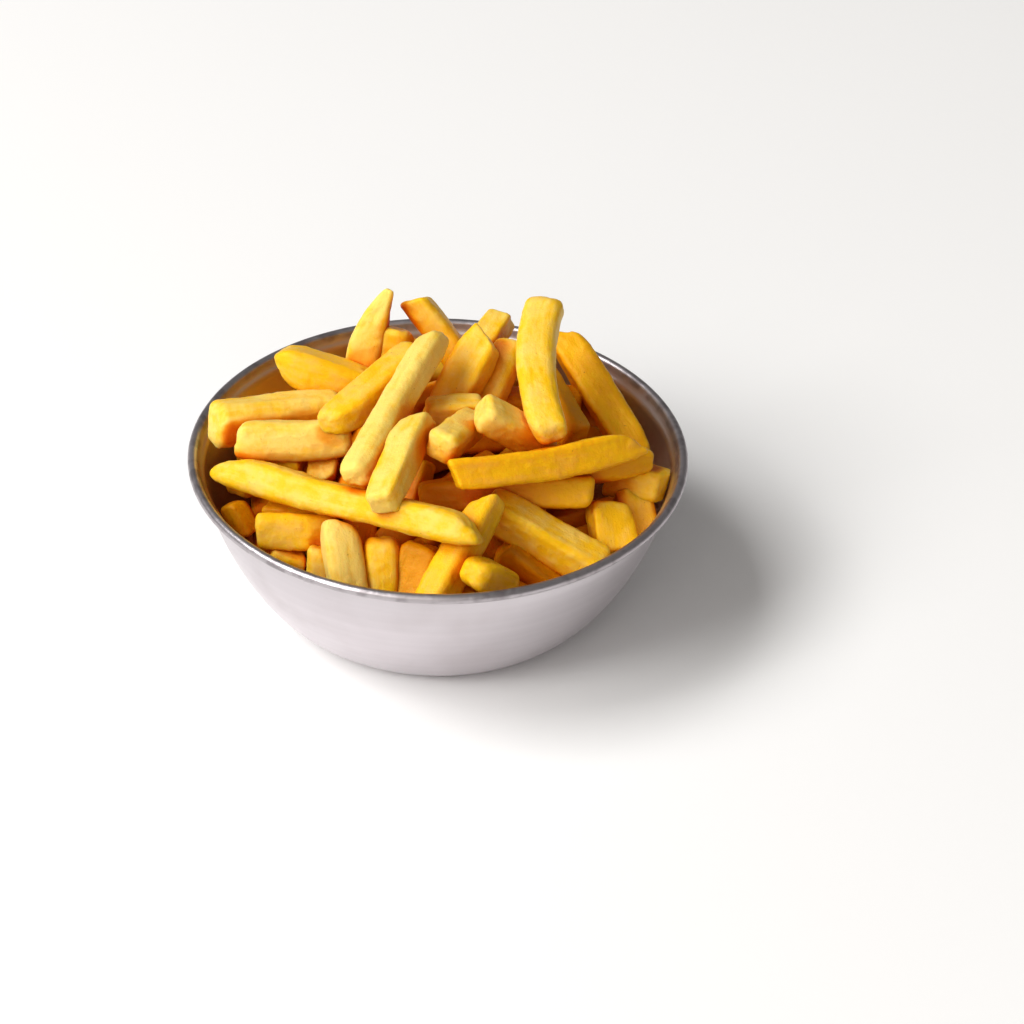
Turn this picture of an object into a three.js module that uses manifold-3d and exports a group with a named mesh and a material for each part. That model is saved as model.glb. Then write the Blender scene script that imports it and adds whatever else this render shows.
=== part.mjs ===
// A portion of french fries heaped in its spun aluminium bowl.
// Millimetres, +Z up; the bowl stands on z = 0 with its axis on the origin.

import * as THREE from 'three';
import { mergeVertices } from 'three/addons/utils/BufferGeometryUtils.js';
import Module from 'manifold-3d';

// ---- The bowl -------------------------------------------------------------
const RIM_RADIUS = 70;
const BOWL_HEIGHT = 47.5;
const BASE_RADIUS = 40;
const WALL_TOP_RADIUS = 66.4;
const WALL_TOP_HEIGHT = 43.5;
const WALL_BULGE = 1.3;
const WALL_SHOULDER = 0.6;
const SHEET = 1;
const BEAD_RADIUS = 1.4;
const BEAD_START = -90;
const BEAD_SWEEP = 270;
const BEAD_STEPS = 6;
const WALL_STEPS = 6;
const ROUND_STEPS = 64;

// ---- The heap -------------------------------------------------------------
const GAP = 0.3;
const HEAD_ROOM = 60;
const CORE_EDGE_HEIGHT = 29;
const CORE_PEAK_HEIGHT = 46;
const CORE_PEAK = new THREE.Vector2(4, 8);
const CORE_SPREAD = 30;
const CORE_RINGS = 16;
const SUPPORT_DROP = 2;
const SUPPORT_SLOPE = 2.6;
const SUPPORTED = [0.25, 0.75];
const STEEP = 42;
const FOOT = 0.15;
const SECTION_CORNER = 0.84;
const END_ROUND = 0.86;
const END_ROUND_LENGTH = 4;
const TAPER_LENGTH = 9;
const POINT_LENGTH = 22;
const SHARP = 0.5;
const LENGTH_STEPS = 4;

// The fries that lie on top, one a row: what it is, where its middle is (x, y,
// z), the way its head points (heading, rise in degrees), length, width,
// thickness, roll about its length, bend upward and sideways, and the size of
// its tail and head.
const TOP_FRIES = [
  ['rear spike', -18, 31, 57, 58, 72, 42, 10.5, 8.5, -10, 0, -4, 1, 0.25],
  ['rear left of middle', 0, 36, 60.5, 151, 47, 29, 8.5, 8.5, 55, 0, 0, 1, 0.95],
  ['rear left, jutting out', -34, 25, 55, -12, -12, 26, 11, 11, 15, 0, 0, 0.5, 0.9],
  ['short upright', -13.8, 31, 53.5, 68, 75, 24, 9.5, 8.5, 0, 0, 0, 1, 0.9],
  ['left of middle', -18, 6, 63, 52, 9, 38, 11, 10, 8, 0, 0, 0.75, 0.9],
  ['long pale', -12, -8, 67, 68, 15, 56, 8.5, 8, 18, 0, 0, 0.9, 0.8],
  ['second pale', -10, -28, 62, 73, 14, 33, 9.5, 9, 15, 0, 0, 0.85, 0.8],
  ['knob', 4, 5, 57, 8, 0, 16, 8, 8, 0, 0, 0, 0.8, 0.9],
  ['square end, low', 5, -13, 61, 69, -14, 26, 8.5, 9, -10, 0, 0, 1, 0.9],
  ['square end, high', 21, -10, 62, 22, -37, 25, 9, 9.5, -28, 0, 0, 1, 0.9],
  ['tall curved', 30.1, 4.1, 72.3, 93, 21, 46, 11, 10, 10, 0, -3.5, 0.85, 1],
  ['rear middle', 12, 39, 58, 65, 16, 24, 9, 8.5, 0, 0, 0, 1, 0.9],
  ['steep middle', 7, 19.6, 59.4, 51, 41, 26, 11.5, 10, -8, 0, 0, 0.9, 0.8],
  ['behind the high square end', 16, 26, 56, 64, 33, 20, 9, 9, 0, 0, 0, 0.9, 0.9],
  ['behind the tall curved', 28, 27, 46, 3, 0, 24, 8, 8, 0, 0, 0, 0.9, 0.9],
  ['right rear, leaning', 46, 24.5, 49.5, -57, -25, 46, 10, 10.5, -20, 0, 0, 0.9, 0.8],
  ['long right', 29, -19, 58, 24, -3, 54, 8.5, 9, 30, -1.5, 2, 0.95, 0.75],
  ['under the long right', 48, -7, 49, 18, 0, 24, 8.5, 8.5, 20, 0, 0, 0.9, 0.6],
  ['second right', 19, -18, 45.5, 3, 1, 48, 9.5, 9.5, 25, 0, 0, 0.8, 0.95],
  ['front right, sloping', 28.9, -29.4, 39.6, -15, -27, 35, 10.5, 10.5, 0, 0, 0, 0.8, 1],
  ['shaded front right', 27, -34, 31, -15, -32, 20, 9, 9, 0, 0, 0, 0.9, 0.9],
  ['front middle, sloping', 6.9, -45.8, 43.7, 59, 32, 32, 9.5, 9.5, 15, 0, 0, 1, 0.85],
  ['long front', -25, -30, 51, -27, 5, 81, 10, 9.5, 35, -1, 0, 0.5, 0.7],
  ['behind the long front', -47, -2, 44.5, -21, -5, 20, 8.5, 8, 10, 0, 0, 0.7, 0.9],
  ['upper left', -46, 9, 51, 18, -2, 37, 12, 11.5, 5, 0, 0, 1, 0.9],
  ['lower left', -40, -5, 52.7, 1, 4, 32, 9.5, 11.5, 28, 0, 0, 0.8, 0.9],
  ['stub left', -32, -4, 41, -98, 48, 16, 8, 8, 0, 0, 0, 1, 1],
  ['far left, shaded', -54.5, -18, 34.5, 140, 49, 10, 7.5, 7.5, 0, 0, 0, 1, 0.8],
  ['left, under the long front', -38, -17, 35, -7, -6, 20, 8, 8, 0, 0, 0, 0.9, 0.9],
  ['front left block', -38, -28, 38, 5, 0, 21, 9.5, 10, 28, 0, 0, 0.95, 1],
  ['front left, low', -41, -33, 31, 2, -14, 10, 8, 8, 0, 0, 0, 1, 1],
  ['front left, steep', -31, -37, 31, 101, 68, 14, 8, 8, 0, 0, 0, 1, 0.9],
  ['front left, bright', -24, -43, 38, 107, 52, 24, 11, 9, 0, 0, 0, 0.9, 0.8],
  ['front, left of middle', -14.5, -42, 33, 93, 57, 22, 11, 9, 0, 0, 0, 1, 0.9],
  ['front, shaded', -5, -42, 33, 60, 57, 20, 11, 9.5, 0, 0, 0, 1, 0.9],
  ['front, end on', 15, -50, 40, 45, -40, 18, 11.5, 10, 0, 0, 0, 0.7, 0.9],
  ['under the second pale', -7, -9, 41, 64, 56, 16, 9, 9, 0, 0, 0, 1, 0.9],
  ['right, against the wall', 55.5, -4, 40.5, -22, 3, 16, 9.5, 9.5, 20, 0, 0, 1, 0.9],
  ['front right, low', 48.5, -19.5, 35.5, -75, -40, 14, 12, 9, 10, 0, 0, 0.9, 1],
  ['front right, at the rim', 55.5, -11, 34, -72, -38, 12, 11, 9, 5, 0, 0, 0.9, 1],
];

// Ends that are cut aslant: how far the cut runs along the fry for each
// millimetre sideways and upward, at the tail and at the head.
const SLANTED_ENDS = {
  'rear left of middle': [0, 0, -0.3, 0.2],
  'rear left, jutting out': [0, -1, 0, 0],
  'long pale': [0, 0, 0.5, -0.3],
  'second pale': [0.2, 0, 0.3, -0.3],
  'steep middle': [0, 0, -0.5, 0],
  'right rear, leaning': [-0.7, 0, 0.5, 0],
  'long right': [-0.2, -0.3, 0.2, -0.9],
  'front right, sloping': [0, 0, 0, 0.3],
  'front middle, sloping': [0, 0, 0.9, 0.3],
  'long front': [0.2, 0.9, 0, -1.1],
  'lower left': [0, 0.3, 0, 0],
  'tall curved': [0.3, 0.1, -0.3, -0.2],
  'upper left': [0.2, 0.2, 0, 0],
  'second right': [0, 0, 0, 0.15],
  'front left, bright': [0, 0, -0.4, 0],
  'left of middle': [0.3, 0.1, 0, 0],
};
const SQUARE_ENDS = [0, 0, 0, 0];
const SLANT_FADE = 8;
const SLANT_STRETCH = 2.5;

// The rest are strewn over the core wherever there is room, the longest first.
const STREWN_COUNT = 28;
const STREWN_TRIES = 6000;
const STREWN_REACH = 59;
const STREWN_LONGEST = 50;
const STREWN_SHORTEST = 15;
const STREWN_THICKNESS = [8, 10];
const STREWN_ROLL = [-45, 45];
const STREWN_BEND = [-1.5, 1.5];
const STREWN_END = [0.7, 1];
const STREWN_SINK = 2;
const STREWN_LIFT = 9;
const STREWN_CLEARANCE = 0.8;

// Draws follow a linear congruential rule from a fixed seed.
const SEED = 9;
const DRAW_FACTOR = 1664525;
const DRAW_STEP = 1013904223;
const DRAW_RANGE = 2 ** 32;

// Points this near are one, and two lines this near to parallel are parallel.
const SAME_POINT = 1e-4;
const PARALLEL = 1e-9;

const wasm = await Module();
wasm.setup();

// ---- Meshes and solids ----------------------------------------------------
function closedMesh(geometry) {
  geometry.deleteAttribute('normal');
  geometry.deleteAttribute('uv');
  const merged = mergeVertices(geometry, SAME_POINT);
  const corners = merged.index.array;
  const kept = [];
  for (let i = 0; i < corners.length; i += 3) {
    const [a, b, c] = corners.slice(i, i + 3);
    if (a !== b && b !== c && c !== a) kept.push(a, b, c);
  }
  merged.setIndex(kept);
  return merged;
}

function solidOf(geometry) {
  const merged = closedMesh(geometry);
  return new wasm.Manifold(new wasm.Mesh({
    numProp: 3,
    vertProperties: new Float32Array(merged.attributes.position.array),
    triVerts: new Uint32Array(merged.index.array),
  }));
}

function geometryOf(solid) {
  const { vertProperties, triVerts } = solid.getMesh();
  const geometry = new THREE.BufferGeometry();
  geometry.setAttribute('position', new THREE.Float32BufferAttribute(vertProperties, 3));
  geometry.setIndex(Array.from(triVerts));
  geometry.computeVertexNormals();
  return geometry;
}

// ---- Bowl -----------------------------------------------------------------
// The wall's radius at a height, and the same curve moved inward by an inset.
function wallRadius(height, inset = 0) {
  const climb = Math.min(Math.max((height - inset) / (WALL_TOP_HEIGHT - inset), 0), 1);
  const bulge = 1 - (1 - climb) ** WALL_BULGE;
  return BASE_RADIUS - inset + (WALL_TOP_RADIUS - BASE_RADIUS) * bulge ** WALL_SHOULDER;
}

function wallCurve(inset) {
  const points = [];
  for (let step = 0; step <= WALL_STEPS; step++) {
    const height = inset + (WALL_TOP_HEIGHT - inset) * (step / WALL_STEPS) ** 2;
    points.push(new THREE.Vector2(wallRadius(height, inset), height));
  }
  return points;
}

function beadCurve() {
  const middle = new THREE.Vector2(RIM_RADIUS - BEAD_RADIUS, BOWL_HEIGHT - BEAD_RADIUS);
  const points = [];
  for (let step = 0; step <= BEAD_STEPS; step++) {
    const angle = THREE.MathUtils.degToRad(BEAD_START + BEAD_SWEEP * step / BEAD_STEPS);
    const spoke = new THREE.Vector2(Math.cos(angle), Math.sin(angle));
    points.push(spoke.multiplyScalar(BEAD_RADIUS).add(middle));
  }
  return points;
}

function lathe(points) {
  return new THREE.LatheGeometry(points, ROUND_STEPS).rotateX(Math.PI / 2);
}

function bowlGeometry() {
  return lathe([
    new THREE.Vector2(0, 0),
    ...wallCurve(0),
    ...beadCurve(),
    ...wallCurve(SHEET).reverse(),
    new THREE.Vector2(0, SHEET),
  ]);
}

// The room inside the bowl, and above it, that the heap may fill.
function roomInBowl() {
  const inset = SHEET + GAP;
  const mouth = RIM_RADIUS - 2 * BEAD_RADIUS - GAP;
  return solidOf(lathe([
    new THREE.Vector2(0, inset),
    ...wallCurve(inset),
    new THREE.Vector2(mouth, BOWL_HEIGHT),
    new THREE.Vector2(mouth, BOWL_HEIGHT + HEAD_ROOM),
    new THREE.Vector2(0, BOWL_HEIGHT + HEAD_ROOM),
  ]));
}

// ---- Heap -----------------------------------------------------------------
// The core is a low hump, ridged up to the underside of each fry on top, or to
// the foot of a steep one.
function coreHeight(x, y, lying) {
  return Math.max(humpHeight(x, y), ...lying.map((fry) => ridgeHeight(x, y, fry)));
}

function humpHeight(x, y) {
  const away = Math.hypot(x - CORE_PEAK.x, y - CORE_PEAK.y) / CORE_SPREAD;
  return CORE_EDGE_HEIGHT + (CORE_PEAK_HEIGHT - CORE_EDGE_HEIGHT) * Math.exp(-(away ** 2));
}

function ridgeHeight(x, y, fry) {
  const [run, sidestep] = [fry.to.x - fry.from.x, fry.to.y - fry.from.y];
  const along = ((x - fry.from.x) * run + (y - fry.from.y) * sidestep) / (run ** 2 + sidestep ** 2);
  const foot = fry.rise > 0 ? FOOT : 1 - FOOT;
  const held = Math.abs(fry.rise) > STEEP ? foot : THREE.MathUtils.clamp(along, ...SUPPORTED);
  const under = fry.from.clone().lerp(fry.to, held);
  const away = Math.hypot(x - under.x, y - under.y);
  return under.z - SUPPORT_DROP - SUPPORT_SLOPE * away;
}

// A drum as wide as the bowl, its lid raised to the core's hump.
function coreSolid(lying) {
  const lid = [];
  for (let ring = 0; ring <= CORE_RINGS; ring++) {
    lid.push(new THREE.Vector2(WALL_TOP_RADIUS * (1 - ring / CORE_RINGS), CORE_EDGE_HEIGHT));
  }
  const drum = lathe([new THREE.Vector2(0, 0), new THREE.Vector2(WALL_TOP_RADIUS, 0), ...lid]);
  const position = drum.attributes.position;
  for (let i = 0; i < position.count; i++) {
    if (position.getZ(i) > 0) {
      position.setZ(i, coreHeight(position.getX(i), position.getY(i), lying));
    }
  }
  return solidOf(drum);
}

// A fry as it lies: its two ends, and the ways its width and thickness point.
function lay([kind, x, y, z, heading, rise, length, wide, thick, roll, lift, sway, tail, head]) {
  const turn = THREE.MathUtils.degToRad(heading);
  const climb = THREE.MathUtils.degToRad(rise);
  const clockwise = -THREE.MathUtils.degToRad(roll);
  const middle = new THREE.Vector3(x, y, z);
  const along = new THREE.Vector3(
    Math.cos(turn) * Math.cos(climb),
    Math.sin(turn) * Math.cos(climb),
    Math.sin(climb),
  );
  const level = new THREE.Vector3(along.y, -along.x, 0).normalize();
  const upward = new THREE.Vector3().crossVectors(level, along);
  const side = level.applyAxisAngle(along, clockwise);
  const up = upward.applyAxisAngle(along, clockwise);
  const half = along.clone().multiplyScalar(length / 2);
  return {
    slants: SLANTED_ENDS[kind] ?? SQUARE_ENDS,
    rise, length, wide, thick, lift, sway, tail, head, middle, along, side, up,
    from: middle.clone().sub(half),
    to: middle.clone().add(half),
    girth: (wide + thick) / 4,
  };
}

// How full the section is at a distance from an end that is cut to a size.
function endSize(distance, size) {
  const reach = size < SHARP ? POINT_LENGTH : TAPER_LENGTH;
  const taper = size + (1 - size) * Math.min(distance / reach, 1);
  const round = END_ROUND + (1 - END_ROUND) * Math.min(distance / END_ROUND_LENGTH, 1);
  return taper * round;
}

// How far a point slides along the fry because an end is cut aslant.
function slide(distance, sideways, upward, fry, slantSide, slantUp) {
  const most = (fry.wide * Math.abs(slantSide) + fry.thick * Math.abs(slantUp)) / 2;
  const fade = Math.max(1 - distance / (SLANT_FADE + SLANT_STRETCH * most), 0);
  return (sideways * slantSide + upward * slantUp) * fade;
}

// A box with its long edges drawn in, its ends narrowed or cut aslant, and its
// length bent.
function frySolid(fry) {
  const box = new THREE.BoxGeometry(1, 1, 1, LENGTH_STEPS, 2, 2);
  const position = box.attributes.position;
  const point = new THREE.Vector3();
  for (let i = 0; i < position.count; i++) {
    const [t, w, v] = [position.getX(i), position.getY(i), position.getZ(i)];
    const [fromTail, fromHead] = [(0.5 + t) * fry.length, (0.5 - t) * fry.length];
    const corner = Math.abs(v * w) > 0 ? SECTION_CORNER : 1;
    const size = corner * Math.min(endSize(fromTail, fry.tail), endSize(fromHead, fry.head));
    const [sideways, upward] = [v * fry.wide * size, w * fry.thick * size];
    const along = t * fry.length
      + slide(fromTail, sideways, upward, fry, ...fry.slants.slice(0, 2))
      + slide(fromHead, sideways, upward, fry, ...fry.slants.slice(2));
    const bow = 1 - (2 * t) ** 2;
    point.copy(fry.middle)
      .addScaledVector(fry.along, along)
      .addScaledVector(fry.side, sideways + fry.sway * bow)
      .addScaledVector(fry.up, upward + fry.lift * bow);
    position.setXYZ(i, point.x, point.y, point.z);
  }
  return solidOf(box);
}

// The distance between two fries' middle lines.
function distanceBetween(one, other) {
  const a = new THREE.Vector3().subVectors(one.to, one.from);
  const b = new THREE.Vector3().subVectors(other.to, other.from);
  const apart = new THREE.Vector3().subVectors(one.from, other.from);
  const [aa, bb, ab] = [a.dot(a), b.dot(b), a.dot(b)];
  const [ar, br] = [a.dot(apart), b.dot(apart)];
  const spread = aa * bb - ab * ab;
  const clamp = (value) => Math.min(Math.max(value, 0), 1);
  let s = spread > PARALLEL ? clamp((ab * br - ar * bb) / spread) : 0;
  const t = clamp((ab * s + br) / bb);
  s = clamp((ab * t - ar) / aa);
  return apart.addScaledVector(a, s).addScaledVector(b, -t).length();
}

// Seeded draws, so that the heap is the same each time.
let drawn = SEED;
function draw(low, high) {
  drawn = (drawn * DRAW_FACTOR + DRAW_STEP) % DRAW_RANGE;
  return low + (high - low) * drawn / DRAW_RANGE;
}

// A fry at a random spot, held a lift above the hump at both its ends.
function strewnFry(length) {
  const angle = draw(0, 2 * Math.PI);
  const reach = STREWN_REACH * Math.sqrt(draw(0, 1));
  const [x, y] = [reach * Math.cos(angle), reach * Math.sin(angle)];
  const turn = draw(0, 2 * Math.PI);
  const [dx, dy] = [Math.cos(turn) * length / 2, Math.sin(turn) * length / 2];
  const tailHeight = humpHeight(x - dx, y - dy);
  const headHeight = humpHeight(x + dx, y + dy);
  const rise = THREE.MathUtils.radToDeg(Math.atan2(headHeight - tailHeight, length));
  const shape = [
    draw(...STREWN_THICKNESS), draw(...STREWN_THICKNESS), draw(...STREWN_ROLL),
    draw(...STREWN_BEND), draw(...STREWN_BEND), draw(...STREWN_END), draw(...STREWN_END),
  ];
  const height = (tailHeight + headHeight) / 2;
  const heading = THREE.MathUtils.radToDeg(turn);
  return (lift) => lay(['strewn', x, y, height + lift, heading, rise, length, ...shape]);
}

function insideBowl(fry) {
  return [fry.from, fry.to].every((end) => {
    const limit = wallRadius(end.z - fry.girth, SHEET) - fry.girth;
    return Math.hypot(end.x, end.y) < limit;
  });
}

function hasRoom(fry, others) {
  return others.every((other) => (
    distanceBetween(fry, other) > (fry.girth + other.girth) * STREWN_CLEARANCE));
}

// Strewn fries start sunk in the hump and come up until they clear the others.
function strewnFries(lying) {
  const strewn = [];
  for (let tries = 0; tries < STREWN_TRIES && strewn.length < STREWN_COUNT; tries++) {
    const length = THREE.MathUtils.lerp(STREWN_LONGEST, STREWN_SHORTEST, tries / STREWN_TRIES);
    const liftedTo = strewnFry(length);
    for (let lift = -STREWN_SINK; lift <= STREWN_LIFT; lift++) {
      const fry = liftedTo(lift);
      if (insideBowl(fry) && hasRoom(fry, [...lying, ...strewn])) {
        strewn.push(fry);
        break;
      }
    }
  }
  return strewn;
}

// Fused, the heap keeps its outer skin: no sealed hollow and no loose scrap.
function heapGeometry() {
  const lying = TOP_FRIES.map(lay);
  const fries = [...lying, ...strewnFries(lying)];
  const fused = wasm.Manifold.union([coreSolid(lying), ...fries.map(frySolid)]);
  const trimmed = fused.intersect(roomInBowl());
  const bodies = trimmed.decompose().sort((a, b) => b.volume() - a.volume());
  return geometryOf(bodies[0]);
}

// ---- The portion ----------------------------------------------------------
function subPart(name, geometry, material) {
  const mesh = new THREE.Mesh(geometry, new THREE.MeshStandardMaterial(material));
  mesh.name = name;
  return mesh;
}

const portion = new THREE.Group();
portion.add(subPart('bowl', bowlGeometry(), { color: 0xc4c0c1, roughness: 0.38, metalness: 1 }));
portion.add(subPart('fries', heapGeometry(), { color: 0xf2bd42, roughness: 0.6, metalness: 0 }));

export default portion;
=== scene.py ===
"""A heaped portion of french fries in its spun aluminium bowl, in metres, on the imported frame."""
import itertools
import math
import bpy
import numpy as np
from mathutils import Matrix, Vector


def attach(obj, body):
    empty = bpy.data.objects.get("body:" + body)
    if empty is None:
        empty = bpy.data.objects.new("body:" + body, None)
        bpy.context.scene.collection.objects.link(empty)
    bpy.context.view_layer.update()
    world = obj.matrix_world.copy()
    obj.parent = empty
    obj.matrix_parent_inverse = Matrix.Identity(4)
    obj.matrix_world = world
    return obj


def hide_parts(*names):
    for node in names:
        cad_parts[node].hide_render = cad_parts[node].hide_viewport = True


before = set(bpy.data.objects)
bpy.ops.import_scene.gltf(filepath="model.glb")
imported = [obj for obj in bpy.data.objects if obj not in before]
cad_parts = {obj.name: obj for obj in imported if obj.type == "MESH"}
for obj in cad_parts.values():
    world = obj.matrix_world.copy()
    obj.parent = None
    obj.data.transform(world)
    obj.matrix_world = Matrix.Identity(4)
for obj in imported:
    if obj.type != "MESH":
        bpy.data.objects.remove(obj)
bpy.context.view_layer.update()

MM = 0.001  # lengths below are in millimetres, except where they say metres
TINY = 1e-9  # keeps divisors off zero

# ---- The bowl ---------------------------------------------------------------
RIM_RADIUS = 70
BOWL_HEIGHT = 47.5
BASE_RADIUS = 40
BASE_CORNER = 1.2
BASE_CORNER_POINT = (-0.4, 0.1)  # from where the wall's curve starts
INNER_CORNER = 1.5
WALL_TOP_RADIUS = 66.4
WALL_TOP_HEIGHT = 43.5
WALL_BULGE = 1.3
WALL_SHOULDER = 0.6
SHEET = 1
CREASE_BELOW = 1.2
CREASE_DEPTH = 0.25
CREASE_WIDTH = 0.5
BEAD_RADIUS = 1.4
BEAD_START, BEAD_SWEEP = -120, 290
# the bead's top band, from this height, is painted darker as a dark reflection and scuffed with wear
BEAD_TOP_FROM = 44.6

# Points between the wall's top and the bead, measured from the wall's top: the neck
# outside, and the throat inside.
NECK = ((0.35, 0.45), (0.9, 0.85))
THROAT = ((0.42, 1.9), (-0.35, 0.9))

ROUND_STEPS = 288
WALL_STEPS = 44
WALL_STEP_SPREAD = 1.6
FLOOR_RINGS = 4
BEAD_STEPS = 20

# ---- The heap ---------------------------------------------------------------
GAP = 0.3
CORE_EDGE_HEIGHT = 29
CORE_PEAK_HEIGHT = 46
CORE_PEAK = (4, 8)
CORE_SPREAD = 30
CORE_DROP = 11
TAPER_LENGTH = 9
POINT_LENGTH = 22
SHARP = 0.5

# The fries that lie on top, one a row: what it is, where its middle is (x, y, z), the way
# its head points (heading, rise in degrees), length, width, thickness, roll about its
# length, bend upward and sideways, the size of its tail and head, and how pale it is.
# Painted shade: the shaded fries and 'right rear, leaning' are made darker because they lie in shadow.
TOP_FRIES = [
    ("rear spike", -18, 31, 57, 58, 72, 42, 10.5, 8.5, -10, 0, -4, 1, 0.25, 0.85),
    ("rear left of middle", 0, 36, 60.5, 151, 47, 29, 8.5, 8.5, 55, 0, 0, 1, 0.95, 0.4),
    ("rear left, jutting out", -34, 25, 55, -12, -12, 26, 11, 11, 15, 0, 0, 0.5, 0.9, 0.3),
    ("short upright", -13.8, 31, 53.5, 68, 75, 24, 9.5, 8.5, 0, 0, 0, 1, 0.9, 0.35),
    ("left of middle", -18, 6, 63, 52, 9, 38, 11, 10, 8, 0, 0, 0.75, 0.9, 0.4),
    ("long pale", -12, -8, 67, 68, 15, 56, 8.5, 8, 18, 0, 0, 0.9, 0.8, 0.9),
    ("second pale", -10, -28, 62, 73, 14, 33, 9.5, 9, 15, 0, 0, 0.85, 0.8, 0.7),
    ("knob", 4, 5, 57, 8, 0, 16, 8, 8, 0, 0, 0, 0.8, 0.9, 0.6),
    ("square end, low", 5, -13, 61, 69, -14, 26, 8.5, 9, -10, 0, 0, 1, 0.9, 0.6),
    ("square end, high", 21, -10, 62, 22, -37, 25, 9, 9.5, -28, 0, 0, 1, 0.9, 0.75),
    ("tall curved", 30.1, 4.1, 72.3, 93, 21, 46, 11, 10, 10, 0, -3.5, 0.85, 1, 0.5),
    ("rear middle", 12, 39, 58, 65, 16, 24, 9, 8.5, 0, 0, 0, 1, 0.9, 0.6),
    ("steep middle", 7, 19.6, 59.4, 51, 41, 26, 11.5, 10, -8, 0, 0, 0.9, 0.8, 0.45),
    ("behind the high square end", 16, 26, 56, 64, 33, 20, 9, 9, 0, 0, 0, 0.9, 0.9, 0.5),
    ("behind the tall curved", 28, 27, 46, 3, 0, 24, 8, 8, 0, 0, 0, 0.9, 0.9, 0.0),
    ("right rear, leaning", 46, 24.5, 49.5, -57, -25, 46, 10, 10.5, -20, 0, 0, 0.9, 0.8, 0.0),
    ("long right", 29, -19, 58, 24, -3, 54, 8.5, 9, 30, -1.5, 2, 0.95, 0.75, 0.1),
    ("under the long right", 48, -7, 49, 18, 0, 24, 8.5, 8.5, 20, 0, 0, 0.9, 0.6, 0.0),
    ("second right", 19, -18, 45.5, 3, 1, 48, 9.5, 9.5, 25, 0, 0, 0.8, 0.95, 0.15),
    ("front right, sloping", 28.9, -29.4, 39.6, -15, -27, 35, 10.5, 10.5, 0, 0, 0, 0.8, 1, 0.4),
    ("shaded front right", 27, -34, 31, -15, -32, 20, 9, 9, 0, 0, 0, 0.9, 0.9, -0.45),
    ("front middle, sloping", 6.9, -45.8, 43.7, 59, 32, 32, 9.5, 9.5, 15, 0, 0, 1, 0.85, 0.3),
    ("long front", -25, -30, 51, -27, 5, 81, 10, 9.5, 35, -1, 0, 0.5, 0.7, 0.38),
    ("behind the long front", -47, -2, 44.5, -21, -5, 20, 8.5, 8, 10, 0, 0, 0.7, 0.9, 0.2),
    ("upper left", -46, 9, 51, 18, -2, 37, 12, 11.5, 5, 0, 0, 1, 0.9, 0.7),
    ("lower left", -40, -5, 52.7, 1, 4, 32, 9.5, 11.5, 28, 0, 0, 0.8, 0.9, 0.85),
    ("stub left", -32, -4, 41, -98, 48, 16, 8, 8, 0, 0, 0, 1, 1, 0.6),
    ("far left, shaded", -54.5, -18, 34.5, 140, 49, 10, 7.5, 7.5, 0, 0, 0, 1, 0.8, -0.2),
    ("left, under the long front", -38, -17, 35, -7, -6, 20, 8, 8, 0, 0, 0, 0.9, 0.9, 0.2),
    ("front left block", -38, -28, 38, 5, 0, 21, 9.5, 10, 28, 0, 0, 0.95, 1, 0.35),
    ("front left, low", -41, -33, 31, 2, -14, 10, 8, 8, 0, 0, 0, 1, 1, 0.5),
    ("front left, steep", -31, -37, 31, 101, 68, 14, 8, 8, 0, 0, 0, 1, 0.9, 0.5),
    ("front left, bright", -24, -43, 38, 107, 52, 24, 11, 9, 0, 0, 0, 0.9, 0.8, 1.0),
    ("front, left of middle", -14.5, -42, 33, 93, 57, 22, 11, 9, 0, 0, 0, 1, 0.9, 0.4),
    ("front, shaded", -5, -42, 33, 60, 57, 20, 11, 9.5, 0, 0, 0, 1, 0.9, -0.2),
    ("front, end on", 15, -50, 40, 45, -40, 18, 11.5, 10, 0, 0, 0, 0.7, 0.9, 0.2),
    ("under the second pale", -7, -9, 41, 64, 56, 16, 9, 9, 0, 0, 0, 1, 0.9, -0.1),
    ("right, against the wall", 55.5, -4, 40.5, -22, 3, 16, 9.5, 9.5, 20, 0, 0, 1, 0.9, 0.4),
    ("front right, low", 48.5, -19.5, 35.5, -75, -40, 14, 12, 9, 10, 0, 0, 0.9, 1, 0.3),
    ("front right, at the rim", 55.5, -11, 34, -72, -38, 12, 11, 9, 5, 0, 0, 0.9, 1, 0.3),
]

# Ends that are cut aslant: how far the cut runs along the fry for each millimetre
# sideways and upward, at the tail and at the head. The others are cut nearly square.
SLANTED_ENDS = {
    "rear left of middle": (0, 0, -0.3, 0.2),
    "rear left, jutting out": (0, -1, 0, 0),
    "long pale": (0, 0, 0.5, -0.3),
    "second pale": (0.2, 0, 0.3, -0.3),
    "steep middle": (0, 0, -0.5, 0),
    "right rear, leaning": (-0.7, 0, 0.5, 0),
    "long right": (-0.2, -0.3, 0.2, -0.9),
    "front right, sloping": (0, 0, 0, 0.3),
    "front middle, sloping": (0, 0, 0.9, 0.3),
    "long front": (0.2, 0.9, 0, -1.1),
    "lower left": (0, 0.3, 0, 0),
    "tall curved": (0.3, 0.1, -0.3, -0.2),
    "upper left": (0.2, 0.2, 0, 0),
    "second right": (0, 0, 0, 0.15),
    "front left, bright": (0, 0, -0.4, 0),
    "left of middle": (0.3, 0.1, 0, 0),
}

# Fries that the oil has left rounder than the others.
ROUNDED = ("left of middle", "long pale", "tall curved", "upper left", "lower left",
           "front left, bright", "front, left of middle", "front, end on")

# The rest of the solid heap's fries are strewn over its hump, the longest first, as many
# of this count as find room.
STREWN_COUNT = 28
STREWN_TRIES = 6000
STREWN_REACH = 59
STREWN_LONGEST = 50
STREWN_SHORTEST = 15
STREWN_THICKNESS = (8, 10)
STREWN_ROLL = (-45, 45)
STREWN_BEND = (-1.5, 1.5)
STREWN_END = (0.7, 1)
STREWN_SINK = 2
STREWN_LIFT = 9
STREWN_CLEARANCE = 0.8
STREWN_PALENESS = 0.25
SEED = 9
DRAW_FACTOR = 1664525
DRAW_STEP = 1013904223
DRAW_RANGE = 2 ** 32

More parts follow.
